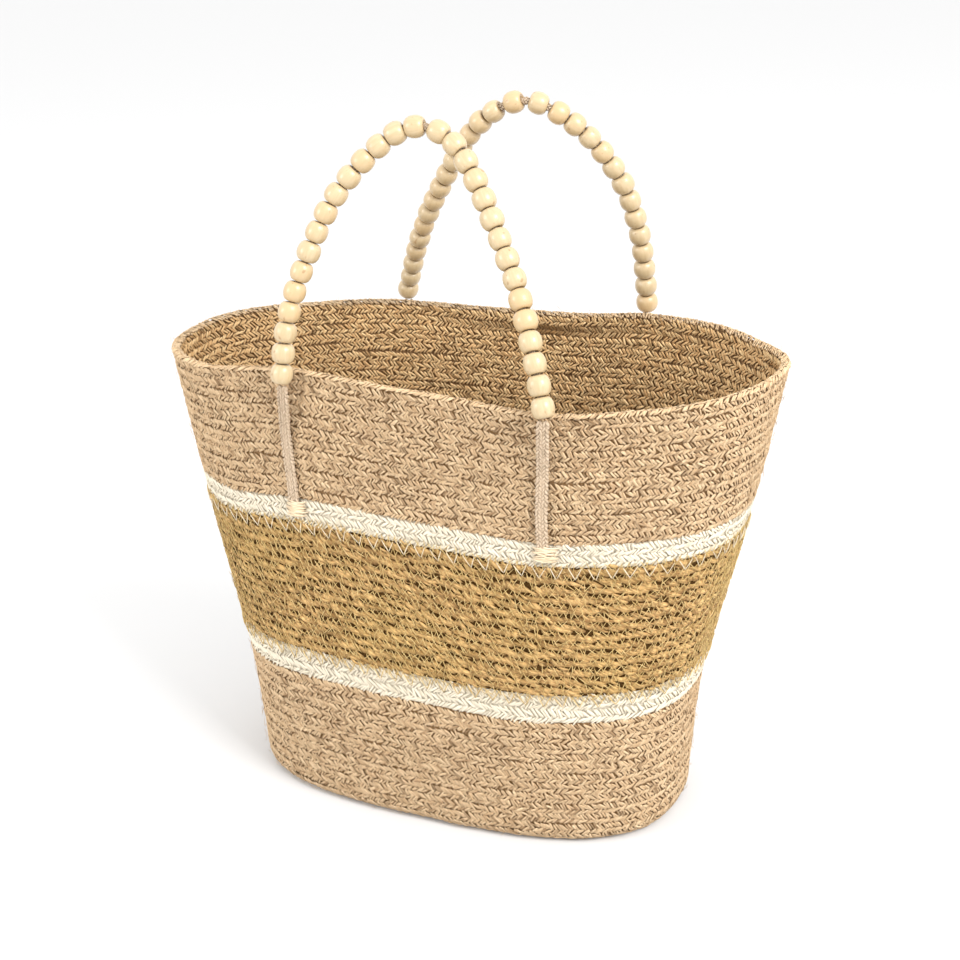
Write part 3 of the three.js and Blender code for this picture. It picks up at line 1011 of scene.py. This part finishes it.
def handleRoute(name, side):
    seat = handle["beadDiameter"] / 2 + handle["seatClearance"]
    stations = [(a * handle["span"] / 2, u * handle["rise"]) for a, u in handleRoutes[name]]
    seats = []
    for across in (stations[0][0], stations[-1][0]):
        wall, slope = wallAt(across, bagShape["height"], side)
        seats.append(wall[1] + side * seat * math.hypot(1, slope))
    points = []
    for across, up in stations:
        share = (across - stations[0][0]) / (stations[-1][0] - stations[0][0])
        lean = handleLeans[name][0] + (handleLeans[name][1] - handleLeans[name][0]) * share
        inward = lean * up * abs(up) / (abs(up) + handle["leanEase"])
        y = seats[0] + (seats[1] - seats[0]) * share - side * inward
        z = bagShape["height"] + math.sqrt(1 - lean ** 2) * up
        points.append(np.array([across, y, z]) + frameShift)
    return Route(curveThrough(points))


def beadShape():
    # a barrel with a bored hole, spun round X
    outline = [
        (-0.86, 0.30), (-0.95, 0.36), (-0.97, 0.50), (-0.90, 0.68), (-0.70, 0.85), (-0.38, 0.965), (0, 1),
        (0.38, 0.965), (0.70, 0.85), (0.90, 0.68), (0.97, 0.50), (0.95, 0.36), (0.86, 0.30),
    ]
    bm = bmesh.new()
    verts = [bm.verts.new((along, radius, 0)) for along, radius in outline]
    edges = [bm.edges.new((verts[k], verts[(k + 1) % len(verts)])) for k in range(len(verts))]
    bmesh.ops.spin(
        bm, geom=verts + edges, cent=(0, 0, 0), axis=(1, 0, 0), dvec=(0, 0, 0), angle=2 * math.pi, steps=20,
        use_merge=True, use_normal_flip=False, use_duplicate=False)
    bmesh.ops.remove_doubles(bm, verts=bm.verts, dist=0.0001)
    bm.verts.index_update()
    return takeShape(bm)


bead = beadShape()


def beadString(name, side):
    route = handleRoute(name, side)
    gaps = wideGaps[name]
    pitch = (route.length - sum(gaps.values())) / (handle["beadCount"] - 1)
    at = [0.0]
    for k in range(handle["beadCount"] - 1):
        at.append(at[-1] + pitch + gaps.get(k, 0))
    points = []
    lay = []
    mark = []
    for place in at:
        tangent = Vector(route.tangent(np.array(place)))
        outward = (Vector((0, 1, 0)) - tangent * tangent.y).normalized()
        turned = Matrix((tangent, outward, tangent.cross(outward))).transposed()
        turned = turned @ Matrix.Rotation(dice.random() * 6.28, 3, "X")
        turned = turned @ Matrix.Rotation(dice.normal(0, 0.03), 3, "Y")
        size = np.array([pitch / 2 * 0.985, handle["beadDiameter"] / 2, handle["beadDiameter"] / 2])
        size = size * np.array([1, *(2 * [1 + dice.normal(0, 0.018)])])
        local = bead["points"] * size
        points.append(local @ np.array(turned).T + route.point(np.array(place)))
        lay.append(local * 1000 + dice.random(3) * 400)
        mark.append(np.stack(np.broadcast_arrays(dice.random(), np.abs(bead["points"][:, 0]), 0.0), axis=-1))
    size = len(bead["points"])
    faces = (bead["faces"][None] + (np.arange(len(at)) * size)[:, None, None]).reshape(-1, 3)
    part = {
        "points": np.concatenate(points),
        "faces": faces,
        "lay": np.concatenate(lay),
        "mark": np.concatenate(mark),
    }
    joinedPiece(name + "Beads", [part], "bead", [name + "_bead_string"])
    return route, at, pitch


def ropeFrame(route, at):
    # the two directions across a route, the first as near to +Y as it gets
    tangent = route.tangent(at)
    outward = np.array([0.0, 1, 0]) - tangent * tangent[..., 1:2]
    outward /= np.linalg.norm(outward, axis=-1, keepdims=True)
    return outward, np.cross(tangent, outward)


cordPlait = {
    "files": 6,
    "step": 0.0024,
    "long": 0.0040,
    "wide": 0.0019,
    "thick": 0.0013,
    "tilt": math.radians(38),
    "out": -0.0005,
    "tuck": 0.0004,
    "fromEnd": 0.0020,
    "bulge": 0.0022,
    "coreInset": 0.0007,
}


def beadCord(name, route, at, pitch):
    # the cord through the beads: a plait wound round a thin core, wider where no bead squeezes it
    gapPlaces = [(at[k] + at[k + 1]) / 2 for k in wideGaps[name]]

    def girth(place):
        bulge = sum(np.exp(-((place - middle) / cordPlait["bulge"]) ** 2) for middle in gapPlaces)
        return handle["cordRadius"] + (handle["gapRadius"] - handle["cordRadius"]) * np.clip(bulge, 0, 1)

    def settle(place, level, proud):
        outward, sideways = ropeFrame(route, place)
        radius = girth(place) + proud
        angle = level / handle["cordRadius"]
        ring = outward * np.cos(angle)[..., None] + sideways * np.sin(angle)[..., None]
        return route.point(place) + ring * radius[..., None]

    def settleCore(place, level, proud):
        # laid out 0.1 mm thick, then widened to what the plait leaves free
        outward, sideways = ropeFrame(route, place)
        spread = (girth(place) - cordPlait["coreInset"]) / 0.00005
        point = route.point(place) + outward * (level * spread)[..., None]
        return point + sideways * (proud * spread)[..., None]

    count = int((route.length + pitch) / cordPlait["step"])
    first = -pitch / 2
    last = route.length + pitch / 2
    parts = []
    for file in range(cordPlait["files"]):
        way = 1 if file % 2 else -1
        place = first + (np.arange(count) + 0.5 + (0.5 if way > 0 else 0)) * cordPlait["step"]
        parts.append(layStrands(short, {
            **cordPlait,
            "place": np.clip(place, first + cordPlait["fromEnd"], last - cordPlait["fromEnd"]),
            "level": (file + 0.5) / cordPlait["files"] * 2 * math.pi * handle["cordRadius"],
            "tilt": way * cordPlait["tilt"],
            "tint": dice.random(count),
        }, settle))
    parts.append(layStrands(strandShape(8, 96, 0.05), {
        "place": np.array([route.length / 2]),
        "level": 0.0,
        "long": route.length + pitch,
        "wide": 0.0001,
        "thick": 0.0001,
        "tint": 0.5,
    }, settleCore))
    joinedPiece(name + "Cord", parts, "handleCord", [name + "_bead_string"])


leg = {
    "wide": 0.0080,
    "thick": 0.0030,
    "clearance": 0.0004,
    "overlap": 0.0040,
    "comeIn": 0.045,
    "halfNeck": 0.0042,
    "belowBead": 0.0003,
}
legPlait = {
    "files": 4,
    "step": 0.0027,
    "long": 0.0046,
    "wide": 0.0017,
    "thick": 0.0013,
    "tilt": math.radians(27),
    "out": 0.0008,
    "tuck": 0.0005,
    "fromEnd": 0.0018,
    "coreWide": 0.86,  # as a share of the leg's width
    "coreThick": 0.0014,
}
# down as a share of the leg, stray along the wall as a share of its width
legStrays = {
    "frontLeftLeg": [(0, 0), (0.2, -0.25), (0.45, -0.55), (0.7, -0.375), (1, -0.15)],
    "frontRightLeg": [(0, 0), (0.25, -0.15), (0.5, -0.34), (0.75, -0.44), (1, -0.33)],
    "backLeftLeg": [(0, 0), (1, 0)],
    "backRightLeg": [(0, 0), (1, 0)],
}


def legRoute(name, route, atStart, side):
    # from under the lowest bead down to the cream stripe, lying on the wall
    place = np.array(0.0 if atStart else route.length)
    foot = route.point(place) - frameShift
    tilt = route.tangent(place)
    halfBead = route.length / (handle["beadCount"] - 1) / 2
    top = foot[2] - abs(tilt[2]) * halfBead
    top = top - math.hypot(tilt[0], tilt[1]) * leg["halfNeck"] - leg["belowBead"]
    edge, slope = wallAt(foot[0], creamTop, side)
    turn = math.atan(slope)
    flatOut = leg["thick"] / 2 + leg["clearance"]
    bottom = edge[2] - leg["overlap"]
    strays = np.array(legStrays[name])
    line = []
    for z in np.linspace(top, bottom, 40):
        stray = readTable(strays, 1, (top - z) / (top - bottom)) * leg["wide"]
        wall, slopeHere = wallAt(foot[0] + stray * math.cos(turn), z, side)
        footOut = side * (foot[1] + stray * math.sin(turn) - wall[1]) / math.hypot(1, slopeHere)
        t = min(max((top - z) / leg["comeIn"], 0), 1)
        off = side * t * t * (3 - 2 * t) * (flatOut - footOut)
        x = foot[0] - math.sin(turn) * off + math.cos(turn) * stray
        y = foot[1] + math.cos(turn) * off + math.sin(turn) * stray
        line.append(np.array([x, y, z]) + frameShift)
    return Route(np.array(line)), turn


def makeLeg(name, route, atStart, side):
    path, turn = legRoute(name, route, atStart, side)
    wide = np.array([math.cos(turn), math.sin(turn), 0])

    def settle(place, level, proud):
        tangent = path.tangent(place)
        outward = np.cross(tangent, wide) * (1 if side < 0 else -1)
        outward *= np.sign(outward[..., 1:2] * side)
        return path.point(place) + wide * level[..., None] + outward * proud[..., None]

    parts = []
    count = int(path.length / legPlait["step"])
    for file in range(legPlait["files"]):
        across = ((file + 0.5) / legPlait["files"] - 0.5) * leg["wide"] * 0.96
        for face in (1, -1):
            place = (np.arange(count) + 0.5 * (file % 2)) * legPlait["step"] + jitter(count, 0.0002)
            parts.append(layStrands(short, {
                **legPlait,
                "place": np.clip(place, legPlait["fromEnd"], path.length - legPlait["fromEnd"]),
                "level": across + jitter(count, 0.0001),
                "long": legPlait["long"] * (1 + jitter(count, 0.12)),
                "tilt": (1 if file % 2 else -1) * legPlait["tilt"] + jitter(count, 0.10),
                "out": face * legPlait["out"] + jitter(count, 0.0001),
                "tuck": face * legPlait["tuck"],
                "tint": np.clip(0.55 + jitter(count, 0.25), 0, 1),
            }, settle))
    parts.append(layStrands(strandShape(8, 30, 0.1), {
        "place": np.array([path.length / 2]),
        "level": 0.0,
        "long": path.length - 0.001,
        "wide": leg["wide"] * legPlait["coreWide"],
        "thick": legPlait["coreThick"],
        "tint": 0.3,
    }, settle))
    joinedPiece(name, parts, "handleCord", [
        ("front" if side < 0 else "back") + ("_left_leg" if atStart else "_right_leg")])
    return path.line[-1]


tackPatch = {
    "high": 0.0098,
    "threads": 13,
    "long": 0.0165,
    "wide": 0.0012,
    "thick": 0.0010,
    "toRight": 0.0008,
    "belowEnd": 0.0020,
    "out": 0.0034,
    "tuck": 0.0034,
}
tackLevel = creamTop - leg["overlap"] - tackPatch["belowEnd"]
tackParts = []
for name, side in (("front", -1), ("back", 1)):
    route, beadPlaces, pitch = beadString(name, side)
    beadCord(name, route, beadPlaces, pitch)
    for atStart in (True, False):
        end = makeLeg(name + ("LeftLeg" if atStart else "RightLeg"), route, atStart, side)
        count = tackPatch["threads"]
        place = outerWall.placeAt(end[0], tackLevel, side) + tackPatch["toRight"]
        tackParts.append(layStrands(plump, {
            **tackPatch,
            "place": place + jitter(count, 0.0012),
            "level": tackLevel + (np.arange(count) / (count - 1) - 0.5) * tackPatch["high"],
            "long": tackPatch["long"] * (1 + jitter(count, 0.04)),
            "tilt": jitter(count, 0.10),
            "tint": dice.random(count),
            "rowLength": outerWall.lengthAt(tackLevel),
        }, outerWall.settle))
joinedPiece("tackStitches", tackParts, "tack", [
    "front_left_leg", "front_right_leg", "back_left_leg", "back_right_leg"])
print("handles made")


# Loose fibres
fibre = {"short": 0.004, "longer": 0.006, "wide": 0.00028, "out": 0.0008}


def looseFibres(name, count, low, high, finish, node):
    level = low + dice.random(count) * (high - low)
    rowLength = outerWall.lengthAt(level)
    part = layStrands(thin, {
        "place": dice.random(count) * rowLength,
        "level": level,
        "long": fibre["short"] + dice.random(count) * fibre["longer"],
        "wide": fibre["wide"],
        "thick": fibre["wide"],
        "tilt": dice.random(count) * 6.28,
        "out": fibre["out"] + dice.random(count) * fibre["out"],
        "tuck": dice.normal(0, 0.0006, count),
        "pitch": dice.normal(0, 0.0008, count),
        "tint": dice.random(count),
        "rowLength": rowLength,
    }, outerWall.settle)
    joinedPiece(name, [part], finish, [node])


looseFibres("juteFibresBelow", 700, 0.002, 0.095, "jute", "lower_jute_band")
looseFibres("juteFibresAbove", 800, 0.230, 0.317, "jute", "upper_jute_band")
looseFibres("seagrassFibres", 500, 0.118, 0.210, "netting", "seagrass_band")
print("fibres laid")


# Floor, light and camera
studio = {
    "floor": (0.655, 0.655, 0.655, 1),
    "world": 1.42,
    "lamps": {
        "key": {"power": 74.0, "size": 1.2, "place": (2.0, -0.9, 2.0)},
        "fill": {"power": 18.0, "size": 0.8, "place": (-1.6, -1.5, 1.0)},
    },
}
bm = bmesh.new()
bmesh.ops.create_grid(bm, x_segments=1, y_segments=1, size=30)
floorMesh = bpy.data.meshes.new("floor")
bm.to_mesh(floorMesh)
bm.free()
floor = bpy.data.objects.new("floor", floorMesh)
bpy.context.scene.collection.objects.link(floor)
floorLook = {"Base Color": studio["floor"], "Roughness": 0.9, "Specular IOR Level": 0.1}
floorFinish = Finish("paleFloor", floorLook)
floorMesh.materials.append(floorFinish.material)

world = bpy.data.worlds.new("studio")
world.use_nodes = True
background = world.node_tree.nodes["Background"]
background.inputs["Color"].default_value = (1, 1, 1, 1)
background.inputs["Strength"].default_value = studio["world"]
bpy.context.scene.world = world

for name, lamp in studio["lamps"].items():
    lampData = bpy.data.lights.new(name, "AREA")
    lampData.energy = lamp["power"]
    lampData.size = lamp["size"]
    lampPiece = bpy.data.objects.new(name, lampData)
    bpy.context.scene.collection.objects.link(lampPiece)
    lampPiece.location = lamp["place"]
    lampPiece.rotation_euler = (Vector((0, 0, 0.2)) - lampPiece.location).to_track_quat("-Z", "Y").to_euler()
bpy.context.scene.view_settings.view_transform = "Standard"

shot = {
    "azimuth": math.radians(23.97),
    "elevation": math.radians(21.20),
    "roll": math.radians(-1.30),
    "eye": (0.4391, -0.9760, 0.6347),
    "lens": 62.36,
}
cameraData = bpy.data.cameras.new("shot")
cameraData.lens = shot["lens"]
cameraData.sensor_width = 36
camera = bpy.data.objects.new("shot", cameraData)
bpy.context.scene.collection.objects.link(camera)
az, el, roll = shot["azimuth"], shot["elevation"], shot["roll"]
back = Vector((math.sin(az) * math.cos(el), -math.cos(az) * math.cos(el), math.sin(el)))
right = Vector((math.cos(az), math.sin(az), 0))
up = back.cross(right)
tiltedRight = right * math.cos(roll) + up * math.sin(roll)
tiltedUp = up * math.cos(roll) - right * math.sin(roll)
facing = Matrix((tiltedRight, tiltedUp, back)).transposed().to_4x4()
camera.matrix_world = Matrix.Translation(Vector(shot["eye"]) + Vector(frameShift)) @ facing
bpy.context.scene.camera = camera
print("studio set")

print("triangles", sum(triangleCount.values()), "most in one piece", max(triangleCount.values()))
